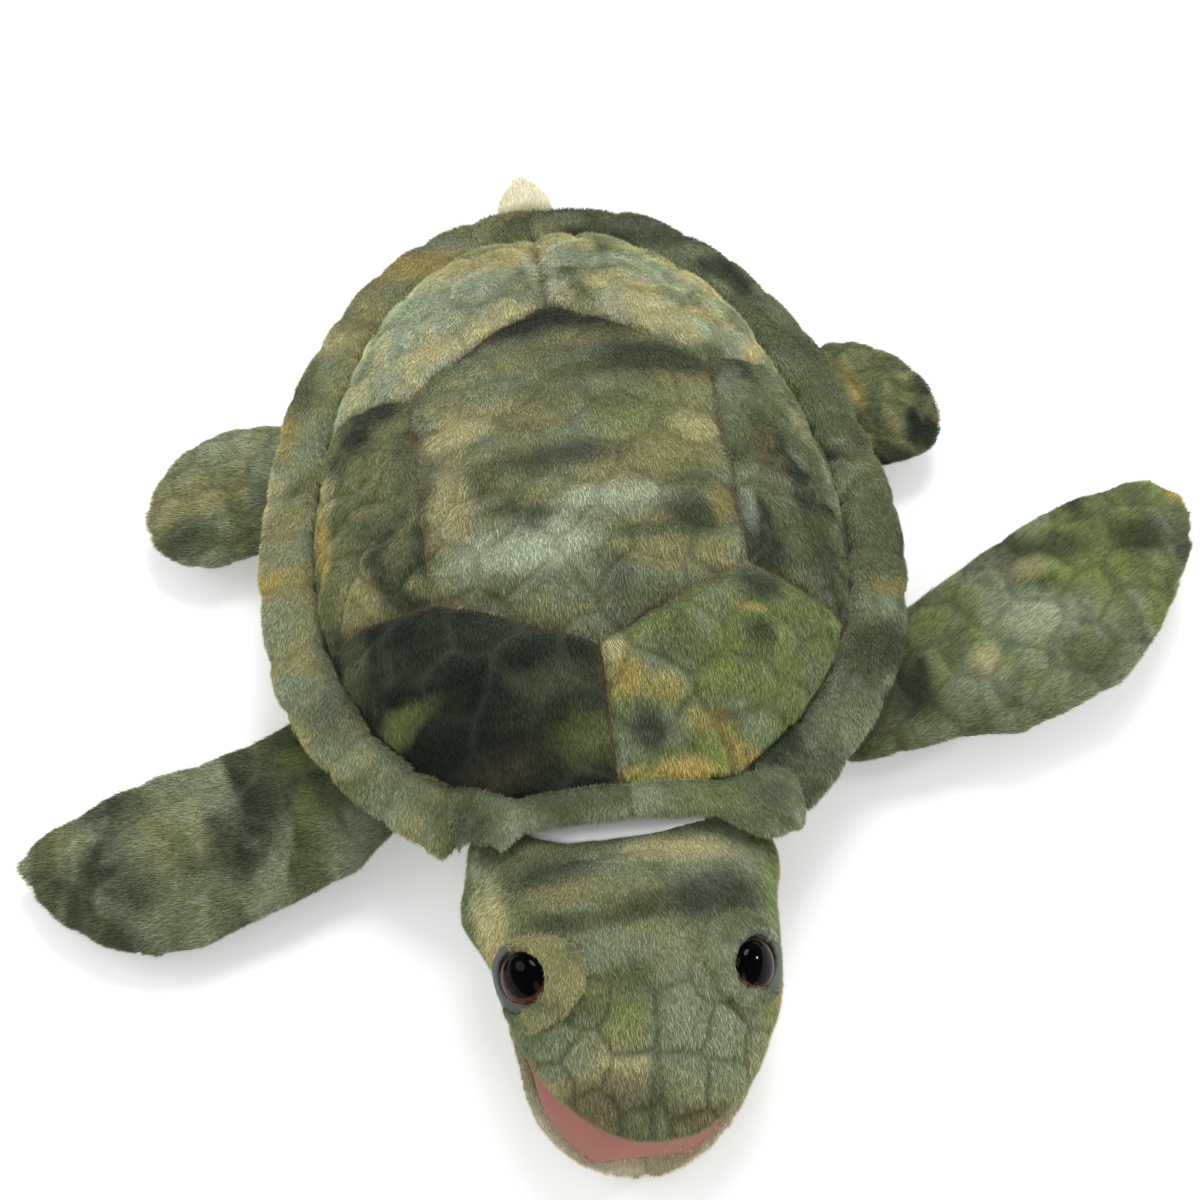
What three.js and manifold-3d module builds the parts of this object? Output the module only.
// Sea turtle hand puppet, in millimetres, +Z up, head towards -Y.
// The origin is on the table, under the middle of the flat belly panel.
// "left" and "right" are the turtle's own: its left side is +X.

import * as THREE from 'three';
import { mergeVertices } from 'three/addons/utils/BufferGeometryUtils.js';
import Module from 'manifold-3d';

// Clearances
const touchGap = 0.3;            // between sewn or glued neighbours
const turnGap = 0.5;             // between the two sides of a soft joint
const sweepGap = 1.2;            // round the space that a moving piece sweeps
const fillingDrop = 5;           // the filling's top lies this far under the panels

// Shell plan: an egg, wider outside the rim than at the foot of the dome
const shellHalfWidth = 153;
const shellFront = 160;
const shellRear = 212;
const shellMidY = -12;
const shellTaper = 0.03 / 170;   // how fast the plan narrows towards the rear
const rearSquareness = 0.88;     // below 1 the rear corners are fuller

// Dome
const domeFootZ = 53;
const domeRise = 78;
const domePower = 0.62;
const panelThickness = 7;
const panelCrown = 2.4;          // each padded panel stands this proud between its seams
const seamDip = 1.6;             // and its edge is drawn in this deep

// Centre panel corners, and where the seams reach the foot of the dome (degrees from the front)
const centreSideX = 70.5;
const centreRearY = 56;
const centreFrontY = -54;
const centreTailY = 95;
const centreNeckY = -87;
const rearSeamAngle = 117.8;
const leftFrontSeamAngle = 66;
const rightFrontSeamAngle = 75;
const neckEdgeY = -141.7;       // the front panels end here, at the rear edge of the collar

// Rim: a padded band that goes round the shell from one side of the neck to the other
const rimWidth = 27.5;
const rimRollRadius = 6;
const rimRollZ = 46;
const rimCrownZ = 57.5;
const rimShoulder = [8, 2.2];    // the roll meets the crown this far in, and this far below it
const rimCrownInset = 6;         // the crown line lies this far from the inner edge
const rimStep = 1.5;             // the low step of the inner edge
const rimUndercut = [9, 3];      // the slope under the band, in and up
const rimStartAngle = 32;

// Collar over the neck
const collarHalfLength = 68;
const collarWidth = 15.5;
const collarThickness = 9;
const collarMidY = -149.5;
const collarEndZ = 52;
const collarRise = 28;
const collarPower = 3;           // above 2 the arch has fuller shoulders
const collarReach = 104;         // how far ahead the shell starts to rise to it
const collarSkew = 0.055;        // it lies a little askew across the neck
const liningThickness = 2.4;
const liningPeek = 1.8;          // the white lining shows this far in front of the collar
const liningBack = 3;            // and ends this far short of the collar's rear edge

// Underside
const bellyThickness = 5;
const bellyInset = 54;           // from the edge of the shell to the edge of the flat belly
const wallTopZ = 44;             // the side walls end under the rim
const wallSeam = 0.18;           // degrees between the throat and the side walls
const gussetThickness = 5;
const gussetInset = 21;          // from the edge of the shell to the top of the side wall
const gussetBulge = 0.62;        // below 1 the wall stands up more steeply from the belly
const sideWallFront = 33;        // the walls run between these two angles
const sideWallRear = 160;

// Hand sleeve: half sizes of the space inside, at the rear opening, mid body and front
const sleeveWall = 2.6;
const openingHalfWidth = 54;
const openingHalfHeight = 13.6;
const openingMidZ = 21;
const openingY = 184;
const sleeveHalfWidth = 53;
const sleeveHalfHeight = 26;
const sleeveMidZ = 39;
const sleeveFrontHalfWidth = 46;
const sleeveFrontHalfHeight = 19;
const sleeveFrontY = -116;
const hemLength = 8;
const hemThickness = 3.4;

// Neck and head. Lengths along the head are counted forward from the turning axis.
const neckX = -4;
const neckY = -150;
const neckZ = 48;
const neckHalfWidth = 56;
const neckRearHalfWidth = 42;
const neckTop = 9;
const neckBottom = 26;
const neckWall = 4;
const neckRear = -10;
const neckFrontMargin = 12;      // the neck ends this far behind the nodding axis
const beyond = 90;               // past every side of the head, for cutting
const nodForward = 22;           // the nodding axis
const nodRadius = 27;
const turnRange = 12;            // degrees each way
const nodRange = 15;
const headYaw = 1;               // degrees, as the head is held
const headRoll = 9.5;
const rollStart = 14;
const rollEnd = 50;
const headLength = 138;
const headRearHalfWidth = 54;
const headHalfWidth = 66;
const widestForward = 30;
const crownForward = 46;
const crownRise = 38;
const browRise = 1;
const throatDepth = 30;
const pocketHalfWidth = 44;
const pocketTop = 19;
const pocketBottom = 16;
const pocketEnd = 98;
const pocketEndHalfWidth = 28;
const pocketEndTop = 12;
const pocketEndBottom = 0.5;
const pocketTip = 5.5;           // the rounded end of the pocket, past that
const pocketTipShare = 0.6;

// Mouth
const mouthForward = 82;         // the jaw's hinge line
const lipDrop = 10;              // the lips lie this far below the head's axis
const lipWidth = 6;
const palateThickness = 2.2;
const jawLength = 60.5;
const jawDepth = 20;
const jawOpen = 24;              // degrees, as it is held
const jawSector = 130;
const thumbHalfWidth = 20;
const thumbTop = 4.5;
const thumbHeight = 13;
const thumbReach = 26;
const palateTipMargin = 7;

// Eyes
const eyeRadius = 11;
const eyeForward = { left: 74, right: 68 };   // sewn in by hand, so the two don't quite match
const eyeAngle = { left: 42, right: 28 };     // how far up the side of the head each sits
const eyeTurn = 26;              // and how far they turn towards the nose
const eyeStand = 6.2;            // how far the ball stands out of the plush
const eyeShankRadius = 2.4;
const eyeShankLength = 10;
const shankStub = 2;             // the shank shows this far past its washer
const washerRadius = 7.5;
const washerThickness = 1.4;
const socketRadius = 14;
const socketThickness = 1.2;
const lidRadius = 19;
const lidShift = 6.5;            // the patch is set off towards the crown
const lidThickness = 2;
const eyeCut = 20;               // the bars that cut the eye's pieces reach this far in and out

// Front flippers
const frontRootAngle = 57;
const frontRootInset = 25;
const frontRootZ = 23.5;
const frontRootRadius = 7.5;
const frontRootHalfChord = 37;
const frontThickness = 9.5;
// Plan outlines, counted outward and back from the root: points on the front edge and on the back edge
const leftFrontOutline = [
  [[3.5, -36.5], [32.5, 33.5]],
  [[24.5, -35], [51.5, 43.5]],
  [[51.5, -33], [71.5, 54.5]],
  [[79.5, -35.5], [92.5, 65.5]],
  [[105.5, -27.5], [117.5, 78]],
  [[131.5, -18.5], [140.5, 84]],
  [[150.5, -1.5], [158.5, 87]],
  [[165.5, 18.5], [171, 87]],
  [[181, 45], [182.5, 77.5]],
];
const leftFrontTip = [185.3, 63.5, 10.5];
const rightFrontOutline = [
  [[-3.5, -41.5], [29.5, 27.5]],
  [[11.5, -54.5], [41.5, 22.5]],
  [[31.5, -61.5], [57.5, 15.5]],
  [[56.5, -71], [77.5, 10.5]],
  [[81.5, -79], [98.5, 7.5]],
  [[105.5, -81], [119.5, 1.5]],
  [[127.5, -72.5], [137.5, -5.5]],
  [[145.5, -59.5], [150.5, -11.5]],
  [[157.5, -45.5], [159.5, -17]],
];
const rightFrontTip = [167, -26.5, -7.5];

// Rear flippers
const rearRootAngle = 112;
const rearRootInset = 25;
const rearRootZ = 24;
const rearRootRadius = 7;
const rearRootHalfChord = 32;
const rearThickness = 9;
const leftRearOutline = [
  [[15.5, -31], [0.5, 34.5]],
  [[23.5, -25], [12.5, 46]],
  [[32.5, -23.5], [24.5, 52]],
  [[40.5, -24.5], [35.5, 52]],
  [[49.5, -23.5], [45.5, 48]],
  [[57.5, -21], [55, 41.5]],
  [[64.5, -16], [63, 32]],
  [[69.5, -8], [69, 21]],
  [[71.5, 0], [71.5, 12]],
];
const leftRearTip = [73, 6, -2];
const rightRearOutline = [
  [[15.5, -31], [0.5, 34.5]],
  [[25, -28.5], [12.5, 43]],
  [[36, -27], [27.5, 48]],
  [[47.5, -29.5], [42.5, 48.5]],
  [[59.5, -30], [55.5, 45.5]],
  [[70.5, -28], [68.5, 39.5]],
  [[79, -23], [78.5, 30]],
  [[85, -15], [85.5, 18]],
  [[88, -7], [88.5, 10]],
];
const rightRearTip = [90.5, 2, -4];

// Tail
const tailHalfWidth = 16;
const tailRootRadius = 6.5;
const tailRootZ = 41;
const tailLength = 28;
const tailDrop = 6;

const wasm = await Module();
wasm.setup();

const radians = THREE.MathUtils.degToRad;
const clamp01 = (v) => Math.min(1, Math.max(0, v));
const mix = (a, b, f) => a + (b - a) * f;
const signedPower = (v, p) => Math.sign(v) * Math.abs(v) ** p;

function smoothStep(from, to, v) {
  const f = clamp01((v - from) / (to - from));
  return f * f * (3 - 2 * f);
}

// Solids

// A closed skin through rings of points, with a fan from each end ring to its end point.
function closedLoft(rings, startPoint, endPoint) {
  const n = rings[0].length;
  const middle = (ring) => ring.reduce((s, p) => s.add(p), new THREE.Vector3()).divideScalar(n);
  const points = rings.flat();
  const start = points.length;
  points.push(startPoint ?? middle(rings[0]), endPoint ?? middle(rings[rings.length - 1]));
  const faces = [];
  for (let i = 0; i < rings.length - 1; i++) {
    for (let j = 0; j < n; j++) {
      const k = (j + 1) % n;
      const [a, b, c, d] = [i * n + j, i * n + k, (i + 1) * n + k, (i + 1) * n + j];
      faces.push(a, b, c, a, c, d);
    }
  }
  const last = (rings.length - 1) * n;
  for (let j = 0; j < n; j++) {
    const k = (j + 1) % n;
    faces.push(start, k, j, start + 1, last + j, last + k);
  }
  const geometry = new THREE.BufferGeometry();
  geometry.setAttribute('position', new THREE.Float32BufferAttribute(points.flatMap((p) => [p.x, p.y, p.z]), 3));
  geometry.setIndex(faces);
  return signedVolume(geometry) < 0 ? flipped(geometry) : geometry;
}

function signedVolume(geometry) {
  const position = geometry.getAttribute('position');
  const index = geometry.getIndex();
  const [a, b, c] = [new THREE.Vector3(), new THREE.Vector3(), new THREE.Vector3()];
  let volume = 0;
  for (let i = 0; i < index.count; i += 3) {
    a.fromBufferAttribute(position, index.getX(i));
    b.fromBufferAttribute(position, index.getX(i + 1));
    c.fromBufferAttribute(position, index.getX(i + 2));
    volume += a.dot(b.cross(c)) / 6;
  }
  return volume;
}

function flipped(geometry) {
  const index = Array.from(geometry.getIndex().array);
  for (let i = 0; i < index.length; i += 3) {
    [index[i + 1], index[i + 2]] = [index[i + 2], index[i + 1]];
  }
  geometry.setIndex(index);
  return geometry;
}

function toSolid(geometry) {
  const bare = geometry.clone();
  bare.deleteAttribute('normal');
  bare.deleteAttribute('uv');
  const merged = mergeVertices(bare, 1e-4);
  const mesh = new wasm.Mesh({
    numProp: 3,
    vertProperties: Float32Array.from(merged.getAttribute('position').array),
    triVerts: Uint32Array.from(merged.getIndex().array),
  });
  mesh.merge();
  return new wasm.Manifold(mesh);
}

function toGeometry(solid) {
  const { vertProperties, triVerts } = solid.getMesh();
  const geometry = new THREE.BufferGeometry();
  geometry.setAttribute('position', new THREE.BufferAttribute(vertProperties, 3));
  geometry.setIndex(new THREE.BufferAttribute(triVerts, 1));
  return geometry;
}

function boxSolid(low, high) {
  const size = high.map((v, i) => v - low[i]);
  const box = new THREE.BoxGeometry(...size);
  box.translate(...low.map((v, i) => v + size[i] / 2));
  return toSolid(box);
}

// A cylinder about a line along X.
function barSolid(radius, halfLength, y, z, sides = 40) {
  const bar = new THREE.CylinderGeometry(radius, radius, 2 * halfLength, sides);
  bar.rotateZ(Math.PI / 2);
  bar.translate(0, y, z);
  return toSolid(bar);
}

// The whole toy

const puppet = new THREE.Group();

function material(color, roughness = 0.95, metalness = 0) {
  return new THREE.MeshStandardMaterial({ color, roughness, metalness });
}

const greenPlush = material(0x5b6444);
const palePlush = material(0xd9cfa4);
const whiteLining = material(0xe9e8e4, 0.9);
const greyLining = material(0x8f9088, 0.9);
const pinkLining = material(0xdb8f83, 0.85);
const olivePatch = material(0x7d7f52);
const darkFelt = material(0x2c3029);
const fibreFill = material(0xf2f1ec, 1);
const eyePlastic = material(0x1a0f0a, 0.12);
const washerPlastic = material(0xdcdcd8, 0.5);

function addPiece(name, geometry, finish) {
  const mesh = new THREE.Mesh(geometry, finish);
  mesh.name = name;
  puppet.add(mesh);
}

// Shell plan and dome

// A point of the shell's plan, at an angle from the front, drawn in by an inset.
function planPoint(degrees, inset) {
  const t = radians(degrees);
  const ahead = Math.cos(t) > 0;
  const y = shellMidY - ((ahead ? shellFront : shellRear) - inset) * Math.cos(t);
  const across = (shellHalfWidth - inset) * signedPower(Math.sin(t), ahead ? 1 : rearSquareness);
  return new THREE.Vector2(across * (1 - shellTaper * (y - shellMidY)), y);
}

// How far out a place lies, from 0 in the middle to 1 on the plan drawn in by the inset.
function planShare(x, y, inset) {
  const ahead = y < shellMidY;
  const along = Math.abs(y - shellMidY) / ((ahead ? shellFront : shellRear) - inset);
  const across = Math.abs(x) / (1 - shellTaper * (y - shellMidY)) / (shellHalfWidth - inset);
  const power = 2 / (ahead ? 1 : rearSquareness);
  let [low, high] = [0, 2];
  for (let i = 0; i < 24; i++) {
    const share = (low + high) / 2;
    if ((across / share) ** power + (along / share) ** 2 > 1) low = share;
    else high = share;
  }
  return high;
}

// Near the neck the shell is drawn up to the height of the collar.
function raised(z, x, y, drop) {
  const arch = collarHeight(x / collarHalfLength) - drop;
  return z + Math.max(0, arch - z) * smoothStep(-collarReach, neckEdgeY, y);
}

function domeZ(x, y) {
  const share = Math.min(1, planShare(x, y, rimWidth));
  return raised(domeFootZ + domeRise * (1 - share * share) ** domePower, x, y, -seamDip);
}

// The underside of the panels: the same dome, drawn in by their thickness.
function domeUnderZ(x, y) {
  const share = planShare(x, y, rimWidth + panelThickness);
  const z = domeFootZ - 5 + (domeRise - panelThickness + 5) * clamp01(1 - share * share) ** domePower;
  return raised(z, x, y, panelThickness - seamDip);
}

// Carapace panels

const corner = {
  rearLeft: new THREE.Vector2(centreSideX, centreRearY),
  rearRight: new THREE.Vector2(-centreSideX, centreRearY),
  tail: new THREE.Vector2(0, centreTailY),
  frontLeft: new THREE.Vector2(centreSideX, centreFrontY),
  frontRight: new THREE.Vector2(-centreSideX, centreFrontY),
  neck: new THREE.Vector2(0, centreNeckY),
};

function straight(from, to, steps = 6) {
  return Array.from({ length: steps }, (_, i) => from.clone().lerp(to, i / steps));
}

function footArc(fromDegrees, toDegrees, step = 9) {
  const steps = Math.ceil(Math.abs(toDegrees - fromDegrees) / step);
  return Array.from({ length: steps }, (_, i) => planPoint(mix(fromDegrees, toDegrees, i / steps), rimWidth));
}

// The front edge of a front panel, along the collar, from the neck's middle to the start of the rim.
function neckEdge(side, steps = 8) {
  const end = planPoint(rimStartAngle, rimWidth);
  return Array.from({ length: steps }, (_, i) => {
    const f = i / steps;
    const x = side * end.x * f;
    return new THREE.Vector2(x, mix(neckEdgeY - collarSkew * x, end.y, f ** 4));
  });
}

// A padded panel over a plan outline: crowned on top, drawn in at its seams.
function panelSolid(outline) {
  const middle = outline.reduce((s, p) => s.add(p), new THREE.Vector2()).divideScalar(outline.length);
  const place = (p, share) => {
    const reach = p.distanceTo(middle) - touchGap;
    return middle.clone().add(p.clone().sub(middle).setLength(reach * share));
  };
  const topRing = (share) => outline.map((p) => {
    const q = place(p, share);
    const pad = panelCrown * (1 - share ** 3) - seamDip * share ** 12;
    return new THREE.Vector3(q.x, q.y, domeZ(q.x, q.y) + pad);
  });
  const underRing = (share) => outline.map((p) => {
    const q = place(p, share);
    return new THREE.Vector3(q.x, q.y, domeUnderZ(q.x, q.y));
  });
  const rings = [underRing(0.5), underRing(1), ...[1, 0.94, 0.78, 0.5, 0.25].map(topRing)];
  const start = new THREE.Vector3(middle.x, middle.y, domeUnderZ(middle.x, middle.y));
  const end = new THREE.Vector3(middle.x, middle.y, domeZ(middle.x, middle.y) + panelCrown);
  return closedLoft(rings, start, end);
}

function addPanels() {
  const ring = [corner.tail, corner.rearLeft, corner.frontLeft, corner.neck, corner.frontRight, corner.rearRight];
  const centre = ring.flatMap((p, i) => straight(p, ring[(i + 1) % ring.length]));
  addPiece('carapace_panel_centre', panelSolid(centre), greenPlush);
  for (const side of [1, -1]) {
    const hand = side > 0 ? 'left' : 'right';
    const rear = side > 0 ? corner.rearLeft : corner.rearRight;
    const front = side > 0 ? corner.frontLeft : corner.frontRight;
    const seam = side > 0 ? leftFrontSeamAngle : rightFrontSeamAngle;
    const foot = (degrees) => planPoint(side * degrees, rimWidth);
    const arc = (from, to) => footArc(side * from, side * to);
    addPiece(`carapace_panel_rear_${hand}`, panelSolid([
      ...straight(corner.tail, rear), ...straight(rear, foot(rearSeamAngle), 4),
      ...arc(rearSeamAngle, 180), ...straight(foot(180), corner.tail, 5),
    ]), greenPlush);
    addPiece(`carapace_panel_side_${hand}`, panelSolid([
      ...straight(rear, front), ...straight(front, foot(seam), 4),
      ...arc(seam, rearSeamAngle), ...straight(foot(rearSeamAngle), rear, 4),
    ]), greenPlush);
    addPiece(`carapace_panel_front_${hand}`, panelSolid([
      ...straight(front, corner.neck), ...straight(corner.neck, new THREE.Vector2(0, neckEdgeY), 4),
      ...neckEdge(side), ...arc(rimStartAngle, seam), ...straight(foot(seam), front, 4),
    ]), greenPlush);
  }
}

// Rim: the same profile swept round the plan, split on the tail line.

function rimProfile() {
  const inner = rimWidth - touchGap;
  const roll = [-90, -135, 180, 135, 90].map((degrees) => [
    rimRollRadius + rimRollRadius * Math.cos(radians(degrees)),
    rimRollZ + rimRollRadius * Math.sin(radians(degrees)),
  ]);
  return [
    ...roll,
    [rimRollRadius + rimShoulder[0], rimCrownZ - rimShoulder[1]], [inner - rimCrownInset, rimCrownZ],
    [inner, domeFootZ + rimStep], [inner, rimRollZ + rimStep],
    [inner - rimUndercut[0], rimRollZ - rimRollRadius + rimUndercut[1]],
  ];
}

function addRims() {
  const steps = 26;
  const rearEnd = 180 - THREE.MathUtils.radToDeg(Math.asin((touchGap / shellHalfWidth) ** (1 / rearSquareness)));
  for (const side of [1, -1]) {
    const rings = Array.from({ length: steps + 1 }, (_, i) => {
      const degrees = side * mix(rimStartAngle, rearEnd, i / steps);
      return rimProfile().map(([inset, z]) => {
        const p = planPoint(degrees, inset);
        return new THREE.Vector3(p.x, p.y, z);
      });
    });
    addPiece(`carapace_rim_${side > 0 ? 'left' : 'right'}`, closedLoft(rings), greenPlush);
  }
}

// Collar, and the strip of lining that shows under its front edge

function collarHeight(s) {
  return collarEndZ + collarRise * clamp01(1 - Math.abs(s) ** collarPower);
}

function collarSpine(s) {
  const x = collarHalfLength * s;
  return new THREE.Vector3(x, collarMidY - collarSkew * x, collarHeight(s));
}

// A strip along the collar's arch: its thickness and place across are given from the spine outwards.
function collarStrip(front, rear, low, high, steps = 22) {
  const rings = Array.from({ length: steps + 1 }, (_, i) => {
    const s = mix(-1, 1, i / steps);
    const at = collarSpine(s);
    const ahead = collarSpine(Math.min(1, s + 0.02)).sub(collarSpine(Math.max(-1, s - 0.02)));
    const up = new THREE.Vector3(-ahead.z, 0, ahead.x).normalize();
    const [half, middle] = [(high - low) / 2, (high + low) / 2];
    const [depth, place] = [(rear - front) / 2, (rear + front) / 2];
    return Array.from({ length: 10 }, (_, j) => {
      const a = (j / 10) * 2 * Math.PI;
      const along = place + depth * signedPower(Math.cos(a), 0.6);
      const lift = middle + half * signedPower(Math.sin(a), 0.8);
      return at.clone().addScaledVector(up, lift).add(new THREE.Vector3(0, along, 0));
    });
  });
  return closedLoft(rings);
}

function addCollar() {
  const [half, thick] = [collarWidth / 2, collarThickness / 2];
  const room = headRoom();
  const cut = (strip) => toGeometry(largest(toSolid(strip).subtract(room)));
  addPiece('neck_collar', cut(collarStrip(-half, half, -thick, thick)), greenPlush);
  const top = -thick - touchGap;
  addPiece('collar_lining', cut(collarStrip(-half - liningPeek, half - liningBack, top - liningThickness, top)), whiteLining);
}

// Underside: a flat belly panel and side walls that curve up to the rim

function wallInset(z) {
  const share = clamp01(z / wallTopZ) ** gussetBulge;
  return mix(bellyInset, gussetInset, share);
}

function bellySolid() {
  const steps = 40;
  return closedLoft([0, bellyThickness].map((z) => {
    const inset = wallInset(z) + gussetThickness + touchGap;
    return Array.from({ length: steps }, (_, i) => {
      const p = planPoint((360 * i) / steps, inset);
      return new THREE.Vector3(p.x, p.y, z);
    });
  }));
}

// A wall between two angles. Its lower edge lies beside the belly panel, its upper edge under the rim.
function wallSolid(fromDegrees, toDegrees, topZ, steps) {
  const levels = [0, bellyThickness, ...[0.35, 0.65, 1].map((share) => share * topZ)];
  const rings = Array.from({ length: steps + 1 }, (_, i) => {
    const degrees = mix(fromDegrees, toDegrees, i / steps);
    const point = (extra) => (z) => {
      const p = planPoint(degrees, wallInset(z) + extra);
      return new THREE.Vector3(p.x, p.y, z);
    };
    return [...levels.map(point(0)), ...levels.toReversed().map(point(gussetThickness))];
  });
  return closedLoft(rings);
}

// The opening for the arm is cut through the rear of the walls, and the flippers' roots into their sides.
function addUnderside() {
  addPiece('belly_panel', bellySolid(), palePlush);
  const throatTop = neckZ - neckBottom - touchGap;
  const throatSide = sideWallFront - wallSeam;
  addPiece('throat_gusset', wallSolid(-throatSide, throatSide, throatTop, 12), palePlush);
  for (const side of [1, -1]) {
    const hand = side > 0 ? 'left' : 'right';
    let wall = toSolid(wallSolid(side * sideWallFront, side * sideWallRear, wallTopZ, 26));
    for (const limb of limbs.filter((l) => l.side === side)) {
      wall = wall.subtract(toSolid(rootBar(limb, limb.rootRadius + turnGap, limb.rootHalfChord + 3)));
    }
    wall = largest(wall.subtract(toSolid(sleeveLoft(sleeveWall + touchGap, 0))));
    addPiece(`side_gusset_${hand}`, toGeometry(wall), palePlush);
  }
}

// Hand sleeve, from the arm opening under the tail to the back of the neck

function sleeveRing(y, halfWidth, halfHeight, midZ, sides = 20) {
  return Array.from({ length: sides }, (_, i) => {
    const a = (i / sides) * 2 * Math.PI;
    const x = halfWidth * signedPower(Math.cos(a), 0.7);
    return new THREE.Vector3(x, y, midZ + halfHeight * signedPower(Math.sin(a), 0.7));
  });
}

function sleeveLoft(grow, overrun) {
  const stations = [-overrun / 100, 0, 0.25, 0.5, 0.75, 1, 1 + overrun / 100];
  return closedLoft(stations.map((share) => {
    const y = mix(sleeveFrontY, openingY, share);
    const f = smoothStep(0, 0.35, share);
    const g = smoothStep(0.45, 1, share);
    const halfWidth = mix(mix(sleeveFrontHalfWidth, sleeveHalfWidth, f), openingHalfWidth, g);
    const halfHeight = mix(mix(sleeveFrontHalfHeight, sleeveHalfHeight, f), openingHalfHeight, g);
    const midZ = mix(mix(neckZ - 4, sleeveMidZ, f), openingMidZ, g);
    return sleeveRing(y, halfWidth + grow, halfHeight + grow, midZ);
  }));
}

function hemSolid() {
  const [front, rear] = [openingY + touchGap, openingY + touchGap + hemLength];
  const tube = (grow, extra) => toSolid(closedLoft([front - extra, rear + extra].map((y) => (
    sleeveRing(y, openingHalfWidth + grow, openingHalfHeight + grow, openingMidZ)))));
  return tube(hemThickness, 0).subtract(tube(0, 1));
}

function addSleeve() {
  const tube = toSolid(sleeveLoft(sleeveWall, 0)).subtract(toSolid(sleeveLoft(0, 2)));
  addPiece('hand_sleeve', toGeometry(tube), greyLining);
  addPiece('opening_hem', toGeometry(hemSolid()), palePlush);
}

// Filling: fibre between the shell, the side walls and the sleeve

function addFilling() {
  const steps = 36;
  const shares = [0.35, 0.7, 0.9, 1];
  const inset = rimWidth + panelThickness + 2;
  const ring = (share, height) => Array.from({ length: steps }, (_, i) => {
    const edge = planPoint((360 * i) / steps, inset);
    const x = edge.x * share;
    const y = mix(shellMidY, edge.y, share);
    return new THREE.Vector3(x, y, height(x, y, share));
  });
  const top = (x, y, share) => (share === 1 ? domeFootZ - 7 : domeUnderZ(x, y) - fillingDrop);
  const bottom = (x, y, share) => bellyThickness + touchGap + 29 * share ** 9;
  const shape = closedLoft([
    ...shares.map((share) => ring(share, bottom)),
    ...shares.toReversed().map((share) => ring(share, top)),
  ], new THREE.Vector3(0, shellMidY, bellyThickness + touchGap),
  new THREE.Vector3(0, shellMidY, domeUnderZ(0, shellMidY) - fillingDrop));
  const neckRoom = boxSolid([-200, -300, -50], [200, sleeveFrontY + 4, 200]);
  const rearRoom = boxSolid([-200, openingY - 22, -50], [200, 300, 200]);
  const filling = [toSolid(sleeveLoft(sleeveWall + touchGap, 8)), neckRoom, rearRoom]
    .reduce((rest, cut) => rest.subtract(cut), toSolid(shape));
  addPiece('body_filling', toGeometry(largest(filling)), fibreFill);
}

function largest(solid) {
  const parts = solid.decompose();
  return parts.reduce((best, part) => (part.volume() > best.volume() ? part : best));
}

// Neck, head and mouth are built on the head's own axis, forward along -Y, and then turned as they are held.

function headFrame(points, forward) {
  const roll = radians(headRoll) * smoothStep(rollStart, rollEnd, forward);
  return points.map((p) => p.applyAxisAngle(new THREE.Vector3(0, 1, 0), roll));
}

function placeHead(geometry) {
  geometry.rotateZ(radians(headYaw));
  geometry.translate(neckX, neckY, neckZ);
  return geometry;
}

function headHalfWidthAt(forward) {
  if (forward < widestForward) {
    return mix(headRearHalfWidth, headHalfWidth, smoothStep(nodForward - nodRadius, widestForward, forward));
  }
  const share = (forward - widestForward) / (headLength - widestForward);
  return headHalfWidth * clamp01(1 - share ** 2.2) ** 0.47;
}

function headTopAt(forward) {
  if (forward < crownForward) return mix(nodRadius, crownRise, smoothStep(10, crownForward, forward));
  const share = (forward - crownForward) / (headLength - crownForward);
  return browRise + (crownRise - browRise) * clamp01(1 - share * share) ** 0.7;
}

function headBottomAt(forward) {
  const share = clamp01((forward - widestForward) / (headLength - widestForward));
  return throatDepth * clamp01(1 - share ** 2.4) ** 0.5;
}

function headRing(forward, halfWidth, top, bottom, sides = 26, fullness = 2.3) {
  const points = Array.from({ length: sides }, (_, i) => {
    const a = (i / sides) * 2 * Math.PI;
    const lift = signedPower(Math.sin(a), 2 / fullness);
    return new THREE.Vector3(halfWidth * signedPower(Math.cos(a), 2 / fullness), -forward,
      lift > 0 ? lift * top : lift * bottom);
  });
  return headFrame(points, forward);
}

// A solid of the mouth's outline, between two heights below the head's axis, in the rolled frame of the face.
function mouthPlate(inset, from, to, low, high, stretch = 1) {
  const steps = 12;
  const edge = Array.from({ length: steps + 1 }, (_, i) => {
    const f = mix(from, to, Math.sin((i / steps) * Math.PI / 2));
    const forward = mouthForward + (f - mouthForward) / stretch;
    return new THREE.Vector2(Math.max(0.4, headHalfWidthAt(forward) - inset), -f);
  });
  const shape = new THREE.Shape([...edge, ...edge.toReversed().map((p) => new THREE.Vector2(-p.x, p.y))]);
  const plate = new THREE.ExtrudeGeometry(shape, { depth: high - low, bevelEnabled: false });
  plate.translate(0, 0, low);
  return plate;
}

const faceRoll = radians(headRoll);
const lipZ = -lipDrop;
const nodY = -nodForward;
const mouthY = -mouthForward;

function faceSolid(geometry) {
  return toSolid(geometry.rotateY(faceRoll));
}

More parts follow.
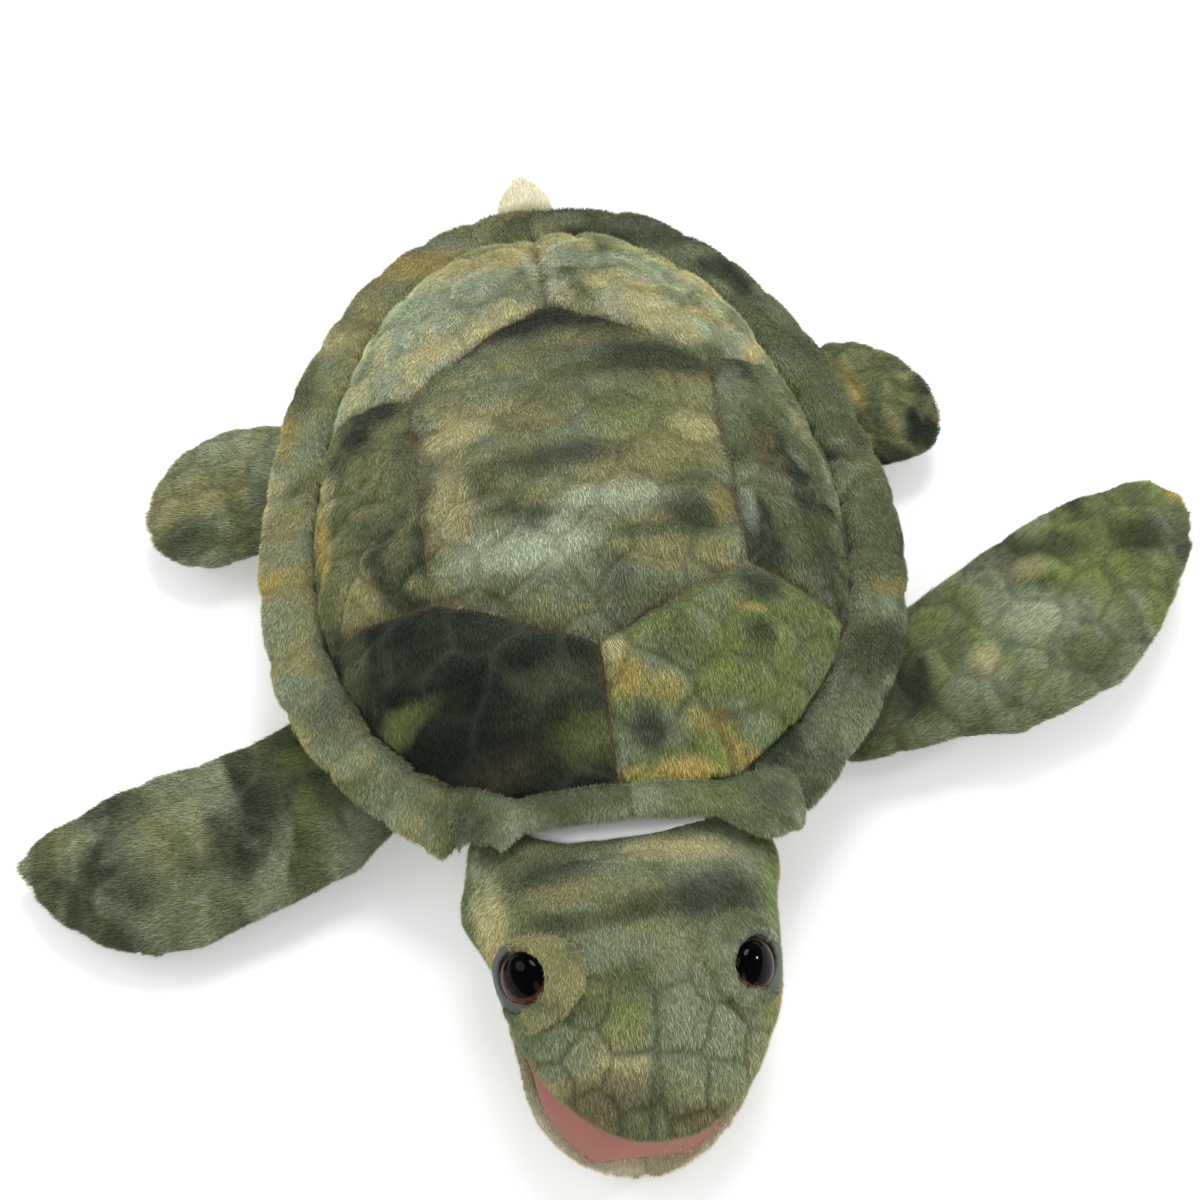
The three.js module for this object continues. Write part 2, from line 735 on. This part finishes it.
function headSolid() {
  const stations = [nodForward - nodRadius - 1, 0, 10, 20, 30, 42, 54, 66, 78, 90, 102, 112, 121, 128, 133, 136.5];
  const skin = toSolid(closedLoft(stations.map((f) => (
    headRing(f, headHalfWidthAt(f), headTopAt(f), headBottomAt(f))))));
  const pocketStations = [nodForward - nodRadius - 4, 20, 50, 66, 82, pocketEnd, pocketEnd + pocketTip];
  const pocket = toSolid(closedLoft(pocketStations.map((f) => {
    const g = smoothStep(50, pocketEnd, f);
    const share = f > pocketEnd ? pocketTipShare : 1;
    return headRing(f, mix(pocketHalfWidth, pocketEndHalfWidth, g) * share, mix(pocketTop, pocketEndTop, g) * share,
      mix(pocketBottom, pocketEndBottom, smoothStep(48, 66, f)), 16, 2.8);
  })));
  const rearCut = boxSolid([-beyond, nodY, -beyond], [beyond, beyond, beyond])
    .subtract(barSolid(nodRadius, beyond, nodY, 0));
  const mouthCut = faceSolid(boxGeometry([-beyond, -headLength - beyond, -beyond], [beyond, mouthY, lipZ]));
  const recess = barSolid(jawDepth + turnGap, beyond, mouthY, lipZ)
    .intersect(boxSolid([-beyond, -headLength - beyond, -beyond], [beyond, 0, lipZ]));
  const recessTurned = toSolid(toGeometry(recess).rotateY(faceRoll));
  const palateRoom = faceSolid(mouthPlate(lipWidth, mouthForward, headLength - palateTipMargin, lipZ - 1,
    lipZ + palateThickness + touchGap));
  const thumbWay = faceSolid(boxGeometry([-thumbHalfWidth - 3, mouthY + 4, lipZ - jawDepth + 5],
    [thumbHalfWidth + 3, mouthY + jawDepth + 14, 2]));
  const eyeSpots = [eyeSpot(1), eyeSpot(-1)];
  const eyeRooms = eyeSpots.map((spot) => eyeSolid(spot, touchGap).add(washerRoom(spot)));
  return [pocket, rearCut, mouthCut, recessTurned, palateRoom, thumbWay, ...eyeRooms]
    .reduce((rest, cut) => rest.subtract(cut), skin);
}

function boxGeometry(low, high) {
  const size = high.map((v, i) => v - low[i]);
  return new THREE.BoxGeometry(...size).translate(...low.map((v, i) => v + size[i] / 2));
}

// The jaw is built closed, under the lips, and then swung open about its hinge line.
function openJaw(geometry) {
  geometry.translate(0, mouthForward, lipDrop);
  geometry.rotateX(radians(jawOpen));
  geometry.translate(0, -mouthForward, -lipDrop);
  return geometry.rotateY(faceRoll);
}

function jawSolid() {
  const stretch = jawLength / (headLength - mouthForward);
  const stations = [mouthForward - jawDepth - 2, 72, mouthForward, 92, 104, 116, 126, 134, 139, mouthForward + jawLength];
  const envelope = toSolid(closedLoft(stations.map((f) => {
    const share = clamp01((f - mouthForward) / jawLength);
    const upper = mouthForward + (f - mouthForward) / (f > mouthForward ? stretch : 1);
    const halfWidth = Math.max(0.6, headHalfWidthAt(Math.min(upper, headLength - 0.4)) - 1.2);
    const depth = Math.max(0.6, (jawDepth + 1) * clamp01(1 - share ** 2.2) ** 0.6);
    return jawRing(f, halfWidth, depth);
  })));
  const sector = new THREE.Shape();
  sector.moveTo(0, -touchGap);
  sector.lineTo(-jawLength - 5, -touchGap);
  sector.lineTo(-jawLength - 5, -jawDepth - 5);
  sector.lineTo(0, -jawDepth);
  const turns = 6;
  for (let i = 1; i <= turns; i++) {
    const a = radians(mix(90, jawSector, i / turns));
    sector.lineTo(-jawDepth * Math.cos(a), -jawDepth * Math.sin(a));
  }
  const keep = toSolid(jawPrism(sector));
  const palateRoom = toSolid(mouthPlate(lipWidth, mouthForward, mouthForward + jawLength - palateTipMargin,
    lipZ - touchGap - palateThickness - touchGap, lipZ + 1, stretch));
  const thumb = boxSolid([-thumbHalfWidth, mouthY - thumbReach, lipZ - thumbTop - thumbHeight],
    [thumbHalfWidth, mouthY + jawDepth + 5, lipZ - thumbTop]);
  return toGeometry(envelope.intersect(keep).subtract(palateRoom).subtract(thumb));
}

// The side view of the jaw, drawn as (along Y, up) from its hinge, pulled out to both sides.
function jawPrism(shape) {
  const prism = new THREE.ExtrudeGeometry(shape, { depth: 2 * beyond, bevelEnabled: false });
  prism.translate(0, 0, -beyond);
  const turn = new THREE.Matrix4().set(0, 0, 1, 0, 1, 0, 0, 0, 0, 1, 0, 0, 0, 0, 0, 1);
  prism.applyMatrix4(turn);
  prism.translate(0, mouthY, lipZ);
  return prism;
}

function jawRing(forward, halfWidth, depth, sides = 20) {
  return Array.from({ length: sides }, (_, i) => {
    const a = (i / sides) * 2 * Math.PI;
    const lift = signedPower(Math.sin(a), 0.87);
    return new THREE.Vector3(halfWidth * signedPower(Math.cos(a), 0.87), -forward,
      lipZ + (lift > 0 ? lift * 6 : lift * depth));
  });
}

function addHead() {
  addPiece('head', placeHead(toGeometry(largest(headSolid()))), greenPlush);
  const palate = mouthPlate(lipWidth + touchGap, mouthForward + 1, headLength - palateTipMargin - 1, lipZ,
    lipZ + palateThickness);
  addPiece('upper_palate', placeHead(palate.rotateY(faceRoll)), pinkLining);
  addPiece('lower_jaw', placeHead(openJaw(jawSolid())), palePlush);
  const floorTop = lipZ - touchGap;
  const stretch = jawLength / (headLength - mouthForward);
  const floor = mouthPlate(lipWidth + touchGap, mouthForward + 1, mouthForward + jawLength - palateTipMargin - 1,
    floorTop - palateThickness, floorTop, stretch);
  addPiece('lower_palate', placeHead(openJaw(floor)), pinkLining);
}

// The room that the back of the head sweeps as it turns and nods, which the collar leaves free.
function headRoom() {
  const stations = [nodForward - nodRadius - 2, 8, nodForward, 36, 52, 70];
  const back = toSolid(closedLoft(stations.map((f) => headRing(f, headHalfWidthAt(f) + sweepGap,
    headTopAt(f) + sweepGap, headBottomAt(f) + sweepGap, 20))))
    .subtract(boxSolid([-beyond, nodY, -beyond], [beyond, beyond, beyond])
      .subtract(barSolid(nodRadius + sweepGap, beyond, nodY, 0, 24)));
  const nods = [-nodRange, 0, nodRange].map((degrees) => back.translate([0, nodForward, 0])
    .rotate([degrees, 0, 0]).translate([0, -nodForward, 0]));
  const turns = [-1, -0.33, 0.33, 1].flatMap((f) => nods.map((nod) => (
    nod.rotate([0, 0, headYaw + f * turnRange]).translate([neckX, neckY, neckZ]))));
  return turns.reduce((all, one) => all.add(one));
}

// The neck is a short padded ring. Its front is hollowed to the head's rounded back.
function addNeck() {
  const ring = (f, grow) => {
    const half = mix(neckHalfWidth, neckRearHalfWidth, clamp01(-f / -neckRear)) + grow;
    return headRing(f, half, neckTop + grow, neckBottom + grow, 22, 2.6);
  };
  const outer = toSolid(closedLoft([nodForward, 0, neckRear].map((f) => ring(f, 0))));
  const bore = toSolid(closedLoft([nodForward + 4, 0, neckRear - 2].map((f) => ring(f, -neckWall))));
  const room = barSolid(nodRadius + turnGap, beyond, nodY, 0, 60);
  const flat = boxSolid([-beyond, -beyond, -beyond], [beyond, beyond, -neckBottom]);
  const front = boxSolid([-beyond, -beyond, -beyond], [beyond, nodY + neckFrontMargin, beyond]);
  const neck = outer.subtract(bore).subtract(room).subtract(flat).subtract(front);
  addPiece('neck', placeHead(toGeometry(largest(neck))), greenPlush);
}

// Limbs: a stuffed blade from a rounded root, which lies along its hinge line

function limbOf(name, side, rootAngle, sizes, outline, tip) {
  const edge = planPoint(side * rootAngle, sizes.inset);
  const ahead = planPoint(side * (rootAngle - 2), sizes.inset);
  const chord = edge.clone().sub(ahead).normalize();
  const root = new THREE.Vector3(edge.x, edge.y, sizes.rootZ);
  const from = ([out, back, up = 0]) => new THREE.Vector3(root.x + side * out, root.y + back, root.z + up);
  return { name, side, root, chord: new THREE.Vector3(chord.x, chord.y, 0), tip: from(tip),
    outline: outline.map((pair) => pair.map(from)), ...sizes };
}

const frontSizes = { inset: frontRootInset, rootZ: frontRootZ, rootRadius: frontRootRadius,
  rootHalfChord: frontRootHalfChord, thickness: frontThickness };
const rearSizes = { inset: rearRootInset, rootZ: rearRootZ, rootRadius: rearRootRadius,
  rootHalfChord: rearRootHalfChord, thickness: rearThickness };

const limbs = [
  limbOf('front_flipper_left', 1, frontRootAngle, frontSizes, leftFrontOutline, leftFrontTip),
  limbOf('front_flipper_right', -1, frontRootAngle, frontSizes, rightFrontOutline, rightFrontTip),
  limbOf('rear_flipper_left', 1, rearRootAngle, rearSizes, leftRearOutline, leftRearTip),
  limbOf('rear_flipper_right', -1, rearRootAngle, rearSizes, rightRearOutline, rightRearTip),
];

// A bar along a limb's hinge line, to clear room for its root.
function rootBar(limb, radius, halfLength) {
  const bar = new THREE.CylinderGeometry(radius, radius, 2 * halfLength, 28);
  const turn = new THREE.Quaternion().setFromUnitVectors(new THREE.Vector3(0, 1, 0), limb.chord);
  bar.applyQuaternion(turn);
  bar.translate(limb.root.x, limb.root.y, limb.root.z);
  return bar;
}

function limbSolid(limb) {
  const span = limb.tip.clone().sub(limb.root);
  const inward = new THREE.Vector3(limb.chord.y, -limb.chord.x, 0).multiplyScalar(-limb.side);
  const section = (centre, halfLine, halfThick) => Array.from({ length: 16 }, (_, i) => {
    const a = (i / 16) * 2 * Math.PI;
    const point = centre.clone().addScaledVector(halfLine, Math.cos(a));
    point.z += halfThick * signedPower(Math.sin(a), 0.85);
    return point;
  });
  const rootLine = limb.chord.clone().multiplyScalar(limb.rootHalfChord);
  const rings = [18, 50, 90].map((degrees) => {
    const a = radians(degrees);
    const centre = limb.root.clone().addScaledVector(inward, limb.rootRadius * Math.cos(a));
    return section(centre, rootLine.clone().multiplyScalar(1 - 0.1 * Math.cos(a)), limb.rootRadius * Math.sin(a));
  });
  for (const [front, back] of limb.outline) {
    const centre = front.clone().lerp(back, 0.5);
    const s = clamp01(centre.clone().sub(limb.root).dot(span) / span.lengthSq());
    centre.z += span.z * s;
    const swell = mix(limb.rootRadius, limb.thickness, smoothStep(0.05, 0.35, s));
    rings.push(section(centre, back.clone().sub(front).divideScalar(2), swell * (1 - s ** 3) ** 0.6 * mix(1, 0.75, s)));
  }
  return closedLoft(rings, null, limb.tip.clone());
}

function addLimbs() {
  for (const limb of limbs) addPiece(limb.name, limbSolid(limb), greenPlush);
}

// Tail: a short flat cone behind the rim, over the arm opening

function addTail() {
  const reach = rimRollRadius + tailRootRadius + touchGap;
  const rearY = shellMidY + shellRear;
  const rootY = rearY - rimRollRadius + Math.sqrt(reach ** 2 - (rimRollZ - tailRootZ) ** 2);
  const rings = [[-0.95, 0.3], [-0.64, 0.76], [0, 1]].map(([back, rise]) => (
    tailRing(rootY + back * tailRootRadius, tailRootZ, tailHalfWidth, tailRootRadius * rise)));
  for (const s of [0.35, 0.6, 0.8, 0.94]) {
    rings.push(tailRing(rootY + tailLength * s, tailRootZ - tailDrop * s, tailHalfWidth * (1 - s ** 2.4) ** 0.5,
      tailRootRadius * (1 - s ** 2.4) ** 0.5));
  }
  addPiece('tail', closedLoft(rings, null, new THREE.Vector3(0, rootY + tailLength, tailRootZ - tailDrop)), palePlush);
}

function tailRing(y, z, halfWidth, halfHeight) {
  return Array.from({ length: 14 }, (_, i) => {
    const a = (i / 14) * 2 * Math.PI;
    return new THREE.Vector3(halfWidth * Math.cos(a), y, z + halfHeight * Math.sin(a));
  });
}

// Eyes: a plastic ball on a shank, held by a washer, in a felt socket with a lid patch on its crown side

function headSkin(grow, sides = 26) {
  const stations = [42, 54, 62, 70, 78, 86, 96];
  return toSolid(closedLoft(stations.map((f) => (
    headRing(f, headHalfWidthAt(f) + grow, headTopAt(f) + grow, headBottomAt(f) + grow, sides)))));
}

// A place on the side of the head, and the way out of it.
function eyeSpot(side) {
  const hand = side > 0 ? 'left' : 'right';
  const a = radians(eyeAngle[hand]);
  const half = headHalfWidthAt(eyeForward[hand]);
  const top = headTopAt(eyeForward[hand]);
  const place = new THREE.Vector3(side * half * Math.cos(a) ** (2 / 2.3), -eyeForward[hand], top * Math.sin(a) ** (2 / 2.3));
  const out = new THREE.Vector3(side * Math.cos(a), -Math.sin(radians(eyeTurn)), Math.sin(a)).normalize();
  const turn = (v) => v.applyAxisAngle(new THREE.Vector3(0, 1, 0), faceRoll);
  return { place: turn(place), out: turn(out) };
}

// A round bar along the way out of an eye, between two distances from the skin.
function eyeBar(spot, radius, from, to, sides = 16) {
  const bar = new THREE.CylinderGeometry(radius, radius, to - from, sides);
  bar.translate(0, (from + to) / 2, 0);
  bar.applyQuaternion(new THREE.Quaternion().setFromUnitVectors(new THREE.Vector3(0, 1, 0), spot.out));
  bar.translate(spot.place.x, spot.place.y, spot.place.z);
  return toSolid(bar);
}

function eyeBall(spot, grow) {
  const ball = new THREE.SphereGeometry(eyeRadius + grow, 16, 10);
  const centre = spot.place.clone().addScaledVector(spot.out, eyeStand - eyeRadius);
  ball.translate(centre.x, centre.y, centre.z);
  return toSolid(ball);
}

const shankEnd = eyeStand - 2 * eyeRadius - eyeShankLength;
const washerPlace = shankEnd + shankStub;

function eyeSolid(spot, grow = 0) {
  return eyeBall(spot, grow).add(eyeBar(spot, eyeShankRadius + grow, shankEnd - grow, eyeStand - eyeRadius, 8));
}

function washerRoom(spot) {
  return eyeBar(spot, washerRadius + touchGap, washerPlace - touchGap, washerPlace + washerThickness + touchGap, 12);
}

function addEyes() {
  for (const side of [1, -1]) {
    const hand = side > 0 ? 'left' : 'right';
    const spot = eyeSpot(side);
    const up = radians(eyeAngle[hand]);
    const crown = new THREE.Vector3(-side * Math.sin(up), 0, Math.cos(up));
    const lidSpot = { out: spot.out, place: spot.place.clone().addScaledVector(crown, lidShift) };
    const washer = eyeBar(spot, washerRadius, washerPlace, washerPlace + washerThickness, 14)
      .subtract(eyeBar(spot, eyeShankRadius + touchGap, washerPlace - 1, washerPlace + washerThickness + 1, 8));
    const skin = headSkin(touchGap);
    const socket = headSkin(touchGap + socketThickness).subtract(skin)
      .intersect(eyeBar(spot, socketRadius, -eyeCut, eyeCut)).subtract(eyeSolid(spot, touchGap));
    const lid = headSkin(touchGap + lidThickness).subtract(skin)
      .intersect(eyeBar(lidSpot, lidRadius, -eyeCut, eyeCut)).subtract(eyeBar(spot, socketRadius + touchGap, -eyeCut, eyeCut));
    addPiece(`eye_${hand}`, placeHead(toGeometry(eyeSolid(spot))), eyePlastic);
    addPiece(`eye_washer_${hand}`, placeHead(toGeometry(washer)), washerPlastic);
    addPiece(`eye_socket_${hand}`, placeHead(toGeometry(largest(socket))), darkFelt);
    addPiece(`eyelid_${hand}`, placeHead(toGeometry(largest(lid))), olivePatch);
  }
}

addPanels();
addRims();
addCollar();
addUnderside();
addSleeve();
addFilling();
addNeck();
addHead();
addEyes();
addLimbs();
addTail();

export default puppet;
